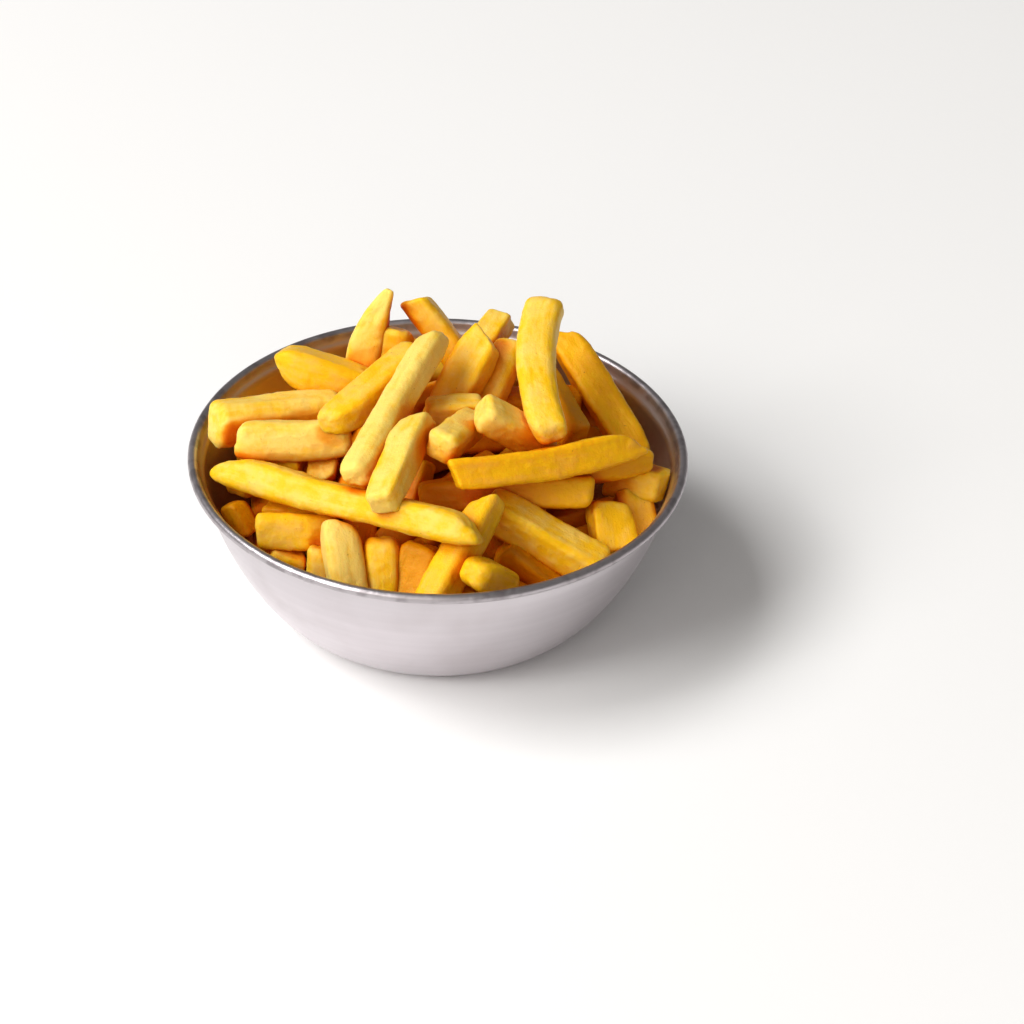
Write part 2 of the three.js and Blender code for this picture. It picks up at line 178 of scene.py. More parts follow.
# More lie buried in the gaps under the top ones, where they only show between others.
BURIED_TRIES = 9000
BURIED_LENGTH = (16, 46)
BURIED_THICKNESS = (7.5, 9.5)
BURIED_STEEPEST = 40
BURIED_FLOOR = 20
BURIED_CEILING = 70
BURIED_CLEARANCE = 0.86
BURIED_SLOPE = 1.3
BURIED_DROP = 6
# painted shade: buried fries are made darker, as they only show in shaded gaps
BURIED_PALENESS = -0.2
BURIED_SEED = 8


# ---- The heap's layout ------------------------------------------------------
def wall_radius(height, inset=0):
    """The wall's radius at a height, moved inward by an inset."""
    climb = np.clip((height - inset) / (WALL_TOP_HEIGHT - inset), 0, 1)
    bulge = 1 - (1 - climb) ** WALL_BULGE
    return BASE_RADIUS - inset + (WALL_TOP_RADIUS - BASE_RADIUS) * bulge ** WALL_SHOULDER


def hump_height(x, y):
    """The solid core's plain height, without what rises to the fries on top."""
    away = math.hypot(x - CORE_PEAK[0], y - CORE_PEAK[1]) / CORE_SPREAD
    return CORE_EDGE_HEIGHT + (CORE_PEAK_HEIGHT - CORE_EDGE_HEIGHT) * math.exp(-(away ** 2))


class Fry:
    """A fry as it lies: its middle line, and the ways its width and thickness point."""

    def __init__(self, kind, x, y, z, heading, rise, length, wide, thick,
                 roll, lift, sway, tail, head, paleness):
        turn, climb, clockwise = np.radians([heading, rise, roll])
        self.kind, self.slants = kind, SLANTED_ENDS.get(kind)
        self.length, self.wide, self.thick = length, wide, thick
        self.lift, self.sway = lift, sway
        self.tail, self.head = tail, head
        self.paleness = paleness
        self.middle = np.array([x, y, z], float)
        self.along = np.array([math.cos(turn) * math.cos(climb),
                               math.sin(turn) * math.cos(climb),
                               math.sin(climb)])
        level = np.array([self.along[1], -self.along[0], 0])
        level /= np.linalg.norm(level)
        upward = np.cross(level, self.along)
        self.side = level * math.cos(clockwise) + upward * math.sin(clockwise)
        self.up = upward * math.cos(clockwise) - level * math.sin(clockwise)
        self.girth = (wide + thick) / 4

    @property
    def start(self):
        return self.middle - self.along * self.length / 2

    @property
    def end(self):
        return self.middle + self.along * self.length / 2


class Pile:
    """Fries that have their place, as arrays that others are held against."""

    def __init__(self, fries):
        self.fries = list(fries)
        self.measure()

    def measure(self):
        self.starts = np.array([fry.start for fry in self.fries])
        self.ends = np.array([fry.end for fry in self.fries])
        self.girths = np.array([fry.girth for fry in self.fries])

    def add(self, fry):
        self.fries.append(fry)
        self.measure()


def dot(one, other):
    return np.sum(one * other, axis=-1)


def distances(starts, ends, other_starts, other_ends):
    """Distances between middle lines, for every pairing that the arrays' shapes give."""
    a, b, apart = ends - starts, other_ends - other_starts, starts - other_starts
    aa, bb, ab, ar, br = dot(a, a), dot(b, b), dot(a, b), dot(a, apart), dot(b, apart)
    spread = aa * bb - ab * ab
    safe = np.where(spread > TINY, spread, 1)
    s = np.where(spread > TINY, np.clip((ab * br - ar * bb) / safe, 0, 1), 0)
    t = np.clip((ab * s + br) / bb, 0, 1)
    s = np.clip((ab * t - ar) / aa, 0, 1)
    return np.linalg.norm(apart + a * s[..., None] - b * t[..., None], axis=-1)


class SeededDraws:
    """Draws that follow a linear congruential rule from a fixed seed."""

    def __init__(self, seed):
        self.drawn = seed

    def draw(self, low, high):
        self.drawn = (self.drawn * DRAW_FACTOR + DRAW_STEP) % DRAW_RANGE
        return low + (high - low) * self.drawn / DRAW_RANGE


def lies_inside(fry, lifts):
    """For each lift, whether both ends stay within the wall."""
    inside = np.ones(len(lifts), bool)
    for end in (fry.start, fry.end):
        limit = wall_radius(end[2] + lifts - fry.girth, SHEET) - fry.girth
        inside &= math.hypot(end[0], end[1]) < limit
    return inside


def has_room(fry, lifts, pile, clearance):
    """For each lift, whether the fry clears all of a pile's."""
    rises = np.array([[[0, 0, lift]] for lift in lifts])
    gaps = distances(fry.start + rises, fry.end + rises, pile.starts, pile.ends)
    return (gaps > (fry.girth + pile.girths) * clearance).all(axis=1)


def strewn_fry(length, draw):
    """A fry at a random spot, lying on the hump at both its ends."""
    angle = draw(0, 2 * math.pi)
    reach = STREWN_REACH * math.sqrt(draw(0, 1))
    x, y = reach * math.cos(angle), reach * math.sin(angle)
    turn = draw(0, 2 * math.pi)
    dx, dy = math.cos(turn) * length / 2, math.sin(turn) * length / 2
    tail_height, head_height = hump_height(x - dx, y - dy), hump_height(x + dx, y + dy)
    rise = math.degrees(math.atan2(head_height - tail_height, length))
    bounds = (STREWN_THICKNESS, STREWN_THICKNESS, STREWN_ROLL,
              STREWN_BEND, STREWN_BEND, STREWN_END, STREWN_END)
    shape = [draw(*bound) for bound in bounds]
    height = (tail_height + head_height) / 2
    return Fry("strewn", x, y, height, math.degrees(turn), rise, length, *shape, STREWN_PALENESS)


def strewn_fries(lying):
    """Strewn fries start sunk in the hump and come up until they clear the others."""
    draw = SeededDraws(SEED).draw
    lifts = np.arange(-STREWN_SINK, STREWN_LIFT + 1)
    strewn, pile = [], Pile(lying)
    for tries in range(STREWN_TRIES):
        if len(strewn) == STREWN_COUNT:
            break
        shrunk = tries / STREWN_TRIES
        fry = strewn_fry((1 - shrunk) * STREWN_LONGEST + shrunk * STREWN_SHORTEST, draw)
        inside = lies_inside(fry, lifts)
        if not inside.any():
            continue
        fits = inside & has_room(fry, lifts, pile, STREWN_CLEARANCE)
        if fits.any():
            fry.middle[2] += lifts[fits.argmax()]
            strewn.append(fry)
            pile.add(fry)
    return strewn


def cover_height(points, pile):
    """How high a fry may lie at points and still be under a pile's fries or the hump."""
    run = (pile.ends - pile.starts)[:, None]
    off = points - pile.starts[:, None]
    along = np.clip(dot(off[..., :2], run[..., :2]) / dot(run[..., :2], run[..., :2]), 0, 1)
    apart = off - run * along[..., None]
    away = np.hypot(apart[..., 0], apart[..., 1])
    over = points[:, 2] - apart[..., 2] - BURIED_DROP - BURIED_SLOPE * away
    hump = [hump_height(x, y) - BURIED_DROP / 2 for x, y, _ in points]
    return np.maximum(over.max(axis=0), hump)


def buried_fries(lying):
    """Fries at random in the gaps, kept below what covers them."""
    rng = np.random.default_rng(BURIED_SEED)
    shortest, longest = BURIED_LENGTH
    covers, pile, unmoved = Pile(lying), Pile(lying), np.zeros(1)
    for tries in range(BURIED_TRIES):
        length = longest + (shortest - longest) * tries / BURIED_TRIES
        angle, reach = rng.uniform(0, 2 * math.pi), STREWN_REACH * math.sqrt(rng.uniform())
        fry = Fry("buried", reach * math.cos(angle), reach * math.sin(angle),
                  rng.uniform(BURIED_FLOOR, BURIED_CEILING), rng.uniform(0, 360),
                  rng.uniform(-BURIED_STEEPEST, BURIED_STEEPEST), length,
                  *rng.uniform(*BURIED_THICKNESS, 2), rng.uniform(*STREWN_ROLL),
                  *rng.uniform(*STREWN_BEND, 2), *rng.uniform(*STREWN_END, 2), BURIED_PALENESS)
        if not lies_inside(fry, unmoved).all():
            continue
        spine = np.array([fry.start, fry.middle, fry.end])
        if (spine[:, 2] > cover_height(spine, covers)).any():
            continue
        if has_room(fry, unmoved, pile, BURIED_CLEARANCE).all():
            pile.add(fry)
    return pile.fries[len(lying):]


# ---- Fry meshes -------------------------------------------------------------
LONG_FRY = 28  # fries on top that are longer are one piece, and the others another

# How many points go round a fry, and how far apart its rings are.
TOP_DETAIL = (56, 0.65)
LOWER_DETAIL = (48, 0.8)
BURIED_DETAIL = (32, 1.2)
FEWEST_RINGS = 4

# A cut end has rings on its flat and on the round edge that ends it, whose radius is
# EDGE. CORNER is how round the fry's ribs, its long edges, are, as a share of half its width.
CAP_RINGS = (0, 0.25, 0.5, 0.75, 1)
EDGE_STEPS = 5
EDGE = (0.9, 2.2)
CORNER = (0.32, 0.68)
ROUNDED_EDGE, ROUNDED_CORNER = 2.5, 0.66
RIB_START = 0.45
CAP_FADE = 3

# No two are alike: faces puff, sections skew, tapered ends lean, cuts slant, and the whole
# fry twists and wanders.
PUFF = (-0.06, 0.05)
SKEW = (-0.1, 0.1)
LEAN = 0.7
SLANT = 0.22
SLANT_FADE = 8
SLANT_STRETCH = 2.5
TWIST = (-0.16, 0.16)
WANDER, WANDER_WAVE = 0.5, 17
PALENESS_SPREAD = (-0.06, 0.06)

# The skin's relief: rough tips and ribs, waves of three sizes, and a few blisters.
TIP_LENGTH = 3
TIP_WAVE, TIP_ROUGHNESS = 2.2, 0.28
RIB_WAVE, RIB_ROUGHNESS = (2.4, 1.8, 1.8), 0.18
SKIN_WAVES = ((0.42, (15, 8, 8)), (0.18, (5, 3, 3)), (0.11, (1.6, 1.2, 1.2)))
BLISTER_WAVE, BLISTER_RARITY, BLISTER = (2.6, 2, 2), 0.5, 0.5
BLISTER_SHIFT = 70
GRAIN_REACH = 300
WAVE_SEED = 5
WAVE_CELLS = 24
WAVES = np.random.default_rng(WAVE_SEED).uniform(-1, 1, (WAVE_CELLS,) * 3)

# How near a fry or the wall has to be to shelter a point and so paint shade on it, how far
# round a fry's side that reaches, and how fast it fades.
SHELTER_REACH = 14
SHELTER_WRAP = 0.15
SHELTER_FADE = 1.5


def ripple(points, size):
    """Smooth waves from -1 to 1 at points, of a size that may differ by axis."""
    cells = points / np.asarray(size, float)
    corner = np.floor(cells).astype(int)
    part = cells - corner
    part = part * part * (3 - 2 * part)
    height = np.zeros(points.shape[:-1])
    for step in itertools.product((0, 1), repeat=3):
        share = np.prod(np.where(step, part, 1 - part), axis=-1)
        height += share * WAVES[tuple(np.moveaxis((corner + step) % WAVE_CELLS, -1, 0))]
    return height


def section(around, corner):
    """A square of half width 1 with round corners, and how near a corner, which is a rib
    along the fry, each point is."""
    straight, bend = 1 - corner, math.pi / 2 * corner
    quarter = 2 * straight + bend
    walk = (np.arange(around) + 0.5) / around * 4 * quarter
    turns, left = np.divmod(walk, quarter)
    bending = np.clip((left - straight) / bend, 0, 1) * math.pi / 2
    x = straight + corner * np.cos(bending) - np.maximum(left - straight - bend, 0)
    y = np.minimum(left, straight) + corner * np.sin(bending)
    quarter_turn = turns * math.pi / 2
    across = np.stack([x * np.cos(quarter_turn) - y * np.sin(quarter_turn),
                       x * np.sin(quarter_turn) + y * np.cos(quarter_turn)], axis=1)
    rib = np.clip((np.abs(across).min(axis=1) - RIB_START) / (1 - RIB_START), 0, 1)
    return across, rib


def end_rings(edge, girth):
    """Distances from a cut end and sizes of its rings: the flat cut, then its rounded edge."""
    flat = 1 - edge / girth
    angles = np.arange(1, EDGE_STEPS + 1) / EDGE_STEPS * math.pi / 2
    depths = np.concatenate([np.zeros(len(CAP_RINGS)), edge * (1 - np.cos(angles))])
    sizes = np.concatenate([flat * np.array(CAP_RINGS), flat + edge / girth * np.sin(angles)])
    return depths, sizes


def taper(distance, size):
    """How full a fry is at a distance from an end that is cut to a size."""
    reach = POINT_LENGTH if size < SHARP else TAPER_LENGTH
    return size + (1 - size) * np.sin(np.clip(distance / reach, 0, 1) * math.pi / 2)


def ring_normals(points):
    """Outward directions of a grid of rings."""
    ahead = np.gradient(points, axis=0)
    turning = np.roll(points, -1, axis=1) - np.roll(points, 1, axis=1)
    normals = np.cross(turning, ahead)
    sizes = np.linalg.norm(normals, axis=-1, keepdims=True)
    return normals / np.maximum(sizes, TINY)


def slanted(place, flat, length, slants):
    """How far each point slides along the fry because its ends are cut aslant."""
    slide = np.zeros(flat.shape[:2])
    reach = np.abs(flat).max(axis=(0, 1))
    for distance, slant in ((place, slants[:2]), (length - place, slants[2:])):
        slant = np.asarray(slant)
        fade = np.clip(1 - distance / (SLANT_FADE + SLANT_STRETCH * reach @ np.abs(slant)), 0, 1)
        slide += (flat @ slant) * fade[:, None]
    return slide


def pressed_in(points):
    """Points drawn in to where the bowl's wall or its bead would press them."""
    mouth = RIM_RADIUS - 2 * BEAD_RADIUS - GAP
    room = np.minimum(wall_radius(points[..., 2], SHEET + GAP), mouth)
    out = np.hypot(points[..., 0], points[..., 1])
    share = np.minimum(room / np.maximum(out, TINY), 1)
    return points * np.stack([share, share, np.ones_like(share)], axis=-1)


def plain_skin(fry, around, spacing, rng):
    """A fry's skin along its own axes, before it is roughened: its rings of points, each
    ring's place along it, and how near a rib each point is."""
    edge, corner, puff = rng.uniform(*EDGE), rng.uniform(*CORNER), rng.uniform(*PUFF)
    if fry.kind in ROUNDED:
        edge, corner = ROUNDED_EDGE, ROUNDED_CORNER
    depths, sizes = end_rings(edge, fry.girth)
    count = max(int((fry.length - 2 * edge) / spacing), FEWEST_RINGS)
    body = np.linspace(edge, fry.length - edge, count + 1)[1:-1]
    place = np.concatenate([depths, body, fry.length - depths[::-1]])
    size = np.concatenate([sizes, np.ones(len(body)), sizes[::-1]])
    fullness = np.minimum(taper(place, fry.tail), taper(fry.length - place, fry.head))
    across, rib = section(around, corner)
    across = across * (1 + puff * (1 - rib[:, None])) * (1 + across[:, ::-1] * rng.uniform(*SKEW, 2))
    half = np.array([fry.wide, fry.thick]) / 2
    lean = rng.uniform(-LEAN, LEAN, 2) * half
    flat = across * half * (size * fullness)[:, None, None] + lean * (1 - fullness)[:, None, None]
    slants = fry.slants or rng.uniform(-SLANT, SLANT, 4)
    ahead = (place - fry.length / 2)[:, None] + slanted(place, flat, fry.length, slants)
    return np.concatenate([ahead[..., None], flat], axis=2), place, rib * (size ** CAP_FADE)[:, None]


def roughened(skin, rib, tip, rng):
    """The skin with its relief, and each point's place in the potato that it was cut from."""
    grain = skin + rng.uniform(0, GRAIN_REACH, 3)
    normals = ring_normals(skin)
    normals[0], normals[-1] = (-1, 0, 0), (1, 0, 0)
    raised = tip * TIP_ROUGHNESS * ripple(grain, TIP_WAVE)
    raised += rib * RIB_ROUGHNESS * ripple(grain, RIB_WAVE)
    for height, wave in SKIN_WAVES:
        raised += height * ripple(grain, wave)
    raised += BLISTER * np.clip(ripple(grain + BLISTER_SHIFT, BLISTER_WAVE) - BLISTER_RARITY, 0, 1)
    return skin + normals * raised[..., None], grain


def laid(fry, skin, place, rng):
    """The skin twisted, bent and put where the fry lies."""
    along = skin[..., 0] / fry.length
    bow = 1 - (2 * along) ** 2
    twist = rng.uniform(*TWIST) * along
    start = rng.uniform(0, GRAIN_REACH, 3)
    wander = WANDER * ripple(place[:, None] * (1, 0, 0) + start, WANDER_WAVE)
    sideways = skin[..., 1] * np.cos(twist) - skin[..., 2] * np.sin(twist) + fry.sway * bow
    upward = skin[..., 1] * np.sin(twist) + skin[..., 2] * np.cos(twist) + fry.lift * bow
    sideways, upward = sideways + wander[:, None], upward + wander[::-1, None]
    return pressed_in(fry.middle + skin[..., :1] * fry.along + sideways[..., None] * fry.side
                      + upward[..., None] * fry.up)


def fry_skin(fry, around, spacing, rng):
    """A fry's skin as rings of points, with what its material needs."""
    plain, place, rib = plain_skin(fry, around, spacing, rng)
    tip = np.exp(-np.minimum(place, fry.length - place) / TIP_LENGTH)[:, None] * np.ones(around)
    rough, grain = roughened(plain, rib, tip, rng)
    points = laid(fry, rough, place, rng)
    paleness = fry.paleness + rng.uniform(*PALENESS_SPREAD)
    return points, {"grain": grain, "rib": rib, "tip": tip, "pale": np.full(tip.shape, paleness)}


def skin_faces(rings, around):
    """Quads between rings and a fan at each end, whose ring is one point."""
    ring = np.arange(rings - 3)[:, None] * around
    step = np.arange(around)[None, :]
    after = (step + 1) % around
    quads = np.stack([ring + step, ring + after, ring + around + after, ring + around + step], axis=-1)
    quads = quads.reshape(-1, 4) + 1
    last = (rings - 3) * around + 1
    tail = [(0, 1 + (i + 1) % around, 1 + i) for i in range(around)]
    head = [(last + around, last + i, last + (i + 1) % around) for i in range(around)]
    return quads, np.array(tail), np.array(head)


def flat_points(grid):
    """A grid of rings as a list, its first and last ring taken as one point each."""
    inner = grid[1:-1].reshape(-1, *grid.shape[2:])
    return np.concatenate([grid[:1, 0], inner, grid[-1:, 0]])


def mesh_object(name, points, faces, finish):
    """A smooth shaded mesh of points in millimetres."""
    mesh = bpy.data.meshes.new(name)
    mesh.from_pydata((points * MM).tolist(), [], faces)
    mesh.shade_smooth()
    mesh.materials.append(finish)
    piece = bpy.data.objects.new(name, mesh)
    bpy.context.scene.collection.objects.link(piece)
    return piece


def keep_on_points(mesh, name, values):
    """Stores a number or a vector for each point, for the material to read."""
    vectors = values.ndim == 2
    kept = mesh.attributes.new(name, "FLOAT_VECTOR" if vectors else "FLOAT", "POINT")
    kept.data.foreach_set("vector" if vectors else "value", values.astype(np.float32).ravel())


def shelter(points, normals, fry, pile):
    """How much of what each point faces is taken up by other fries and the wall, for painted shade."""
    gaps = distances(fry.start, fry.end, pile.starts, pile.ends) - pile.girths - fry.girth
    covered = np.zeros(points.shape[:-1])
    for i in np.flatnonzero((gaps < SHELTER_REACH) & [other is not fry for other in pile.fries]):
        run = pile.ends[i] - pile.starts[i]
        off = points - pile.starts[i]
        along = np.clip(off @ run / (run @ run), 0, 1)
        toward = run * along[..., None] - off
        away = np.maximum(np.linalg.norm(toward, axis=-1), TINY)
        facing = np.clip(dot(toward, normals) / away + SHELTER_WRAP, 0, 1)
        covered += facing * np.minimum((pile.girths[i] / away) ** SHELTER_FADE, 1)
    out = np.hypot(points[..., 0], points[..., 1])
    facing = np.clip(dot(points[..., :2], normals[..., :2]) / out, 0, 1)
    room = wall_radius(points[..., 2], SHEET) - out
    below = np.clip((BOWL_HEIGHT - points[..., 2]) / SHELTER_REACH, 0, 1)
    return covered + facing * below * np.clip(1 - room / SHELTER_REACH, 0, 1)


def fries_piece(name, fries, pile, detail, seed, finish):
    """Fries of one kind, joined as one mesh. A fry's own axes are left-handed, so what its
    skin would call outward is turned round."""
    rng = np.random.default_rng(seed)
    points, faces, looks, start = [], [], {}, 0
    for fry in fries:
        grid, look = fry_skin(fry, *detail, rng)
        # the amount of shade that the material paints on each point
        look["shelter"] = shelter(grid, -ring_normals(grid), fry, pile)
        faces += [(part[:, ::-1] + start).tolist() for part in skin_faces(*grid.shape[:2])]
        points.append(flat_points(grid))
        for key, values in look.items():
            looks.setdefault(key, []).append(flat_points(values))
        start += len(points[-1])
    piece = mesh_object(name, np.concatenate(points), sum(faces, []), finish)
    for key, values in looks.items():
        keep_on_points(piece.data, key, np.concatenate(values))
    return piece


# ---- Materials --------------------------------------------------------------
def shade(red, green, blue):
    """A colour given as it looks, from 0 to 255, turned linear by the sRGB curve."""
    linear = [(c / 255 / 12.92) if c < 11 else ((c / 255 + 0.055) / 1.055) ** 2.4
              for c in (red, green, blue)]
    return (*linear, 1)


class Value:
    """A shader value that Python sums can be written with."""

    def __init__(self, finish, socket):
        self.finish, self.socket = finish, socket

    def math(self, operation, *terms):
        return self.finish.node("Math", {"operation": operation}, dict(enumerate(terms)))

    def root(self):
        return self.math("SQRT", self)

    def __add__(self, other):
        return self.math("ADD", self, other)

    def __mul__(self, other):
        return self.math("MULTIPLY", self, other)

    def __sub__(self, other):
        return self.math("SUBTRACT", self, other)

    def __rsub__(self, other):
        return self.math("SUBTRACT", other, self)

    __radd__ = __add__
    __rmul__ = __mul__


class Finish:
    """A material that is being made."""

    def __init__(self, name):
        self.material = bpy.data.materials.new(name)
        self.material.use_nodes = True
        self.tree = self.material.node_tree
        self.tree.nodes.clear()

    def node(self, kind, settings=None, sockets=None, output=0):
        """Any node: its type, its settings, and the values or links of its sockets."""
        made = self.tree.nodes.new("ShaderNode" + kind)
        for setting, value in (settings or {}).items():
            setattr(made, setting, value)
        for socket, value in (sockets or {}).items():
            if isinstance(value, Value):
                self.tree.links.new(value.socket, made.inputs[socket])
            else:
                made.inputs[socket].default_value = value
        return Value(self, made.outputs[output])

    def kept(self, name, output="Fac"):
        """What the mesh keeps on its points under a name."""
        return self.node("Attribute", {"attribute_name": name}, output=output)

    def noise(self, at, size, detail=2, roughness=0.5):
        """Clouds from 0 to 1 of one size."""
        return self.node("TexNoise", None, {"Vector": at, "Scale": 1 / size, "Detail": detail,
                                            "Roughness": roughness})

    def step(self, value, low, high):
        """0 below low, 1 above high, smooth between."""
        return self.node("MapRange", {"interpolation_type": "SMOOTHSTEP"},
                         {"Value": value, "From Min": low, "From Max": high})

    def mix(self, share, colour, other):
        """One colour turning into another."""
        return self.node("Mix", {"data_type": "RGBA"}, {0: share, 6: colour, 7: other}, output=2)

    def stretched(self, at, factors):
        return self.node("VectorMath", {"operation": "MULTIPLY"}, {0: at, 1: factors})

    def bump(self, height, distance, over=None):
        """A relief of a height in metres, over another one if given."""
        under = {"Normal": over} if over else {}
        return self.node("Bump", None, {"Height": height, "Distance": distance, **under})

    def surface(self, **sockets):
        """The shader itself, with what it takes on each socket."""
        named = {key.replace("_", " "): value for key, value in sockets.items()}
        shader = self.node("BsdfPrincipled", None, named)
        out = self.tree.nodes.new("ShaderNodeOutputMaterial")
        self.tree.links.new(shader.socket, out.inputs["Surface"])
        return self.material


PALE = shade(252, 215, 112)
GOLDEN = shade(250, 192, 18)
DEEP = shade(240, 160, 0)
# painted shade colours for sheltered points and for the deepest gaps
PAINTED_SHADE_AMBER = shade(214, 92, 0)
PAINTED_DEEP_SHADE = shade(140, 50, 0)
TOASTED = shade(200, 116, 10)
BROWNED_AND_PAINTED_SHADE = shade(176, 98, 4)
SPECK = shade(124, 66, 16)

# Painted shade: how a fry's colour darkens where others shelter it from the light, from how
# much shelter, up to how much, what share it turns, and to which colour.
PAINTED_SHADE_STEPS = ((0.25, 0.95, 0.9, DEEP), (0.5, 1.45, 0.95, PAINTED_SHADE_AMBER), (1.1, 2.3, 0.8, PAINTED_DEEP_SHADE))

# The potato's clouds: their sizes, and the heights of those that stand out.
PATCH_SIZE = 8
MOTTLE_SIZE, MOTTLE_RELIEF = 2.6, 0.3
STREAK_SIZE, STREAK_RELIEF, STREAK_STRETCH = 1.6, 0.2, (0.12, 1, 1)
FINE_SIZE, FINE_RELIEF = 0.5, 0.1
SPECK_SIZE = 0.8

# The bowl's colours, and the sizes and heights of its marks: lines and bands from the
# lathe, wiped patches, and scuffs on the bead.
SATIN = (shade(203, 197, 201), shade(217, 211, 215))
WIPED = shade(194, 186, 188)
# painted reflection of the fries on the inner wall
PAINTED_FRY_REFLECTION = shade(206, 166, 110)
# painted dark reflection on the bead's top, deeper where it is scuffed
PAINTED_BEAD_REFLECTION_AND_WEAR = shade(128, 120, 123)
LINE_SIZE, LINE_RELIEF = 0.35, 0.02
BAND_SIZE, BAND_RELIEF = 3, 0.03
WIPED_SIZE = 20
SCUFF_SIZE, SCUFF_RELIEF = 5, 0.25

FLOOR_TINTS = (shade(250, 250, 250), shade(253, 253, 253))
FLOOR_CLOUD_SIZE = 300


def potato_colour(finish, grain, patches, mottle, streaks):
    """Golden, with paler faces, deeper along the ribs, and painted shade where fries shelter it."""
    rib, tip, pale = finish.kept("rib"), finish.kept("tip"), finish.kept("pale")
    sheltered = finish.kept("shelter")
    blotches = 1.4 * (patches - 0.5) + 1.1 * (mottle - 0.5) + 0.8 * (streaks - 0.5)
    paleness = finish.step(0.9 * pale + blotches - 0.3 * rib, 0, 1)
    depth = finish.step(0.45 - pale + 0.6 * blotches, 0, 0.7)
    toast = finish.step(0.5 * rib + 0.5 * tip + 1.2 * (mottle - 0.5) + 0.8 * (patches - 0.5), 0.55, 1.2)
    specks = finish.step(finish.noise(grain, SPECK_SIZE, 1), 0.74, 0.8)
    colour = finish.mix(paleness, GOLDEN, PALE)
    colour = finish.mix(depth * 0.7, colour, DEEP)
    # brown for low paleness: the fries' own tone, and painted shade on the shaded and buried ones
    colour = finish.mix(finish.step(0 - pale, -0.1, 0.6), colour, BROWNED_AND_PAINTED_SHADE)
    # painted shade, in darker steps where other fries and the wall shelter a point
    for low, high, share, tone in PAINTED_SHADE_STEPS:
        colour = finish.mix(finish.step(sheltered, low, high) * share, colour, tone)
    colour = finish.mix(toast * 0.35, colour, TOASTED)
    return finish.mix(specks * 0.4, colour, SPECK)


def potato_relief(finish, grain, mottle, streaks):
    """Relief that is too fine for the mesh."""
    fine = finish.noise(grain, FINE_SIZE, 3, 0.6)
    relief = finish.bump(mottle, MOTTLE_RELIEF * MM)
    relief = finish.bump(streaks, STREAK_RELIEF * MM, over=relief)
    return finish.bump(fine, FINE_RELIEF * MM, over=relief)


def fried_potato():
    """Fried potato: matt and glossy by turns, and a little translucent."""
    finish = Finish("fried_potato")
    grain = finish.kept("grain", "Vector")
    patches = finish.noise(grain, PATCH_SIZE, 3)
    mottle = finish.noise(grain, MOTTLE_SIZE, 3, 0.6)
    streaks = finish.noise(finish.stretched(grain, STREAK_STRETCH), STREAK_SIZE, 2)
    return finish.surface(
        Base_Color=potato_colour(finish, grain, patches, mottle, streaks),
        Roughness=0.28 + 0.24 * mottle + 0.1 * streaks,
        Normal=potato_relief(finish, grain, mottle, streaks),
        Specular_IOR_Level=0.42, Specular_Tint=(1, 0.78, 0.32, 1),
        Subsurface_Weight=0.5, Subsurface_Scale=2.5 * MM, Subsurface_Radius=(1, 0.65, 0.35))


def spun_aluminium():
    """Satin spun aluminium: fine rings from the lathe, faint wiped patches, a painted reflection
    of the fries inside, and a bead painted darker as a dark reflection, and scuffed."""
    finish = Finish("spun_aluminium")
    place = finish.node("NewGeometry", output="Position")
    parts = finish.node("SeparateXYZ", None, {0: place})
    x, y, z = [Value(finish, socket) for socket in parts.socket.node.outputs]
    radius, height = (x * x + y * y).root() * (1 / MM), z * (1 / MM)
    rings = finish.node("CombineXYZ", None, {0: radius, 1: height, 2: 0})
    lines = finish.noise(rings, LINE_SIZE, 3, 0.7)
    bands = finish.noise(rings, BAND_SIZE, 2)
    wiped = finish.noise(place, WIPED_SIZE * MM, 3)
    scuffs = finish.noise(place, SCUFF_SIZE * MM, 2)
    bead_top = finish.step(height, BEAD_TOP_FROM, BOWL_HEIGHT - BEAD_RADIUS)
    tint = finish.mix(bands, *SATIN)
    tint = finish.mix(finish.step(wiped, 0.4, 0.75) * 0.35, tint, WIPED)
    # painted reflection: the inside is tinted towards the fries' colour
    tint = finish.mix(finish.kept("inside") * 0.4, tint, PAINTED_FRY_REFLECTION)
    # painted dark reflection on the bead's top, deeper in scuffed patches
    tint = finish.mix(bead_top * (0.35 + finish.step(scuffs, 0.45, 0.7) * 0.4), tint, PAINTED_BEAD_REFLECTION_AND_WEAR)
    roughness = 0.27 + 0.1 * lines + 0.12 * finish.step(wiped, 0.35, 0.8) + 0.1 * scuffs * bead_top
    relief = finish.bump(lines, LINE_RELIEF * MM)
    relief = finish.bump(bands, BAND_RELIEF * MM, over=relief)
    relief = finish.bump(scuffs * bead_top, SCUFF_RELIEF * MM, over=relief)
    return finish.surface(Base_Color=tint, Metallic=1, Roughness=roughness, Normal=relief)


def pale_floor():
    """A plain matt white sheet."""
    finish = Finish("pale_floor")
    place = finish.node("NewGeometry", output="Position")
    clouds = finish.noise(place, FLOOR_CLOUD_SIZE * MM, 2)
    return finish.surface(Base_Color=finish.mix(clouds, *FLOOR_TINTS), Roughness=0.9)


# ---- Bowl -------------------------------------------------------------------
def arc(middle, radius, start, sweep, steps):
    """Points along an arc, angles in degrees."""
    angles = np.radians(start + sweep * np.linspace(0, 1, steps + 1))
    return np.array(middle) + radius * np.stack([np.cos(angles), np.sin(angles)], axis=1)


def wall_profile(inset, creased):
    """The wall's curve from its foot up, with its faint crease on the outside."""
    steps = np.linspace(0, 1, WALL_STEPS + 1)[1:]
    heights = inset + (WALL_TOP_HEIGHT - inset) * steps ** WALL_STEP_SPREAD
    radii = wall_radius(heights, inset)
    if creased:
        near = (heights - WALL_TOP_HEIGHT + CREASE_BELOW) / CREASE_WIDTH
        radii = radii - CREASE_DEPTH * np.exp(-near ** 2)
    return np.stack([radii, heights], axis=1)


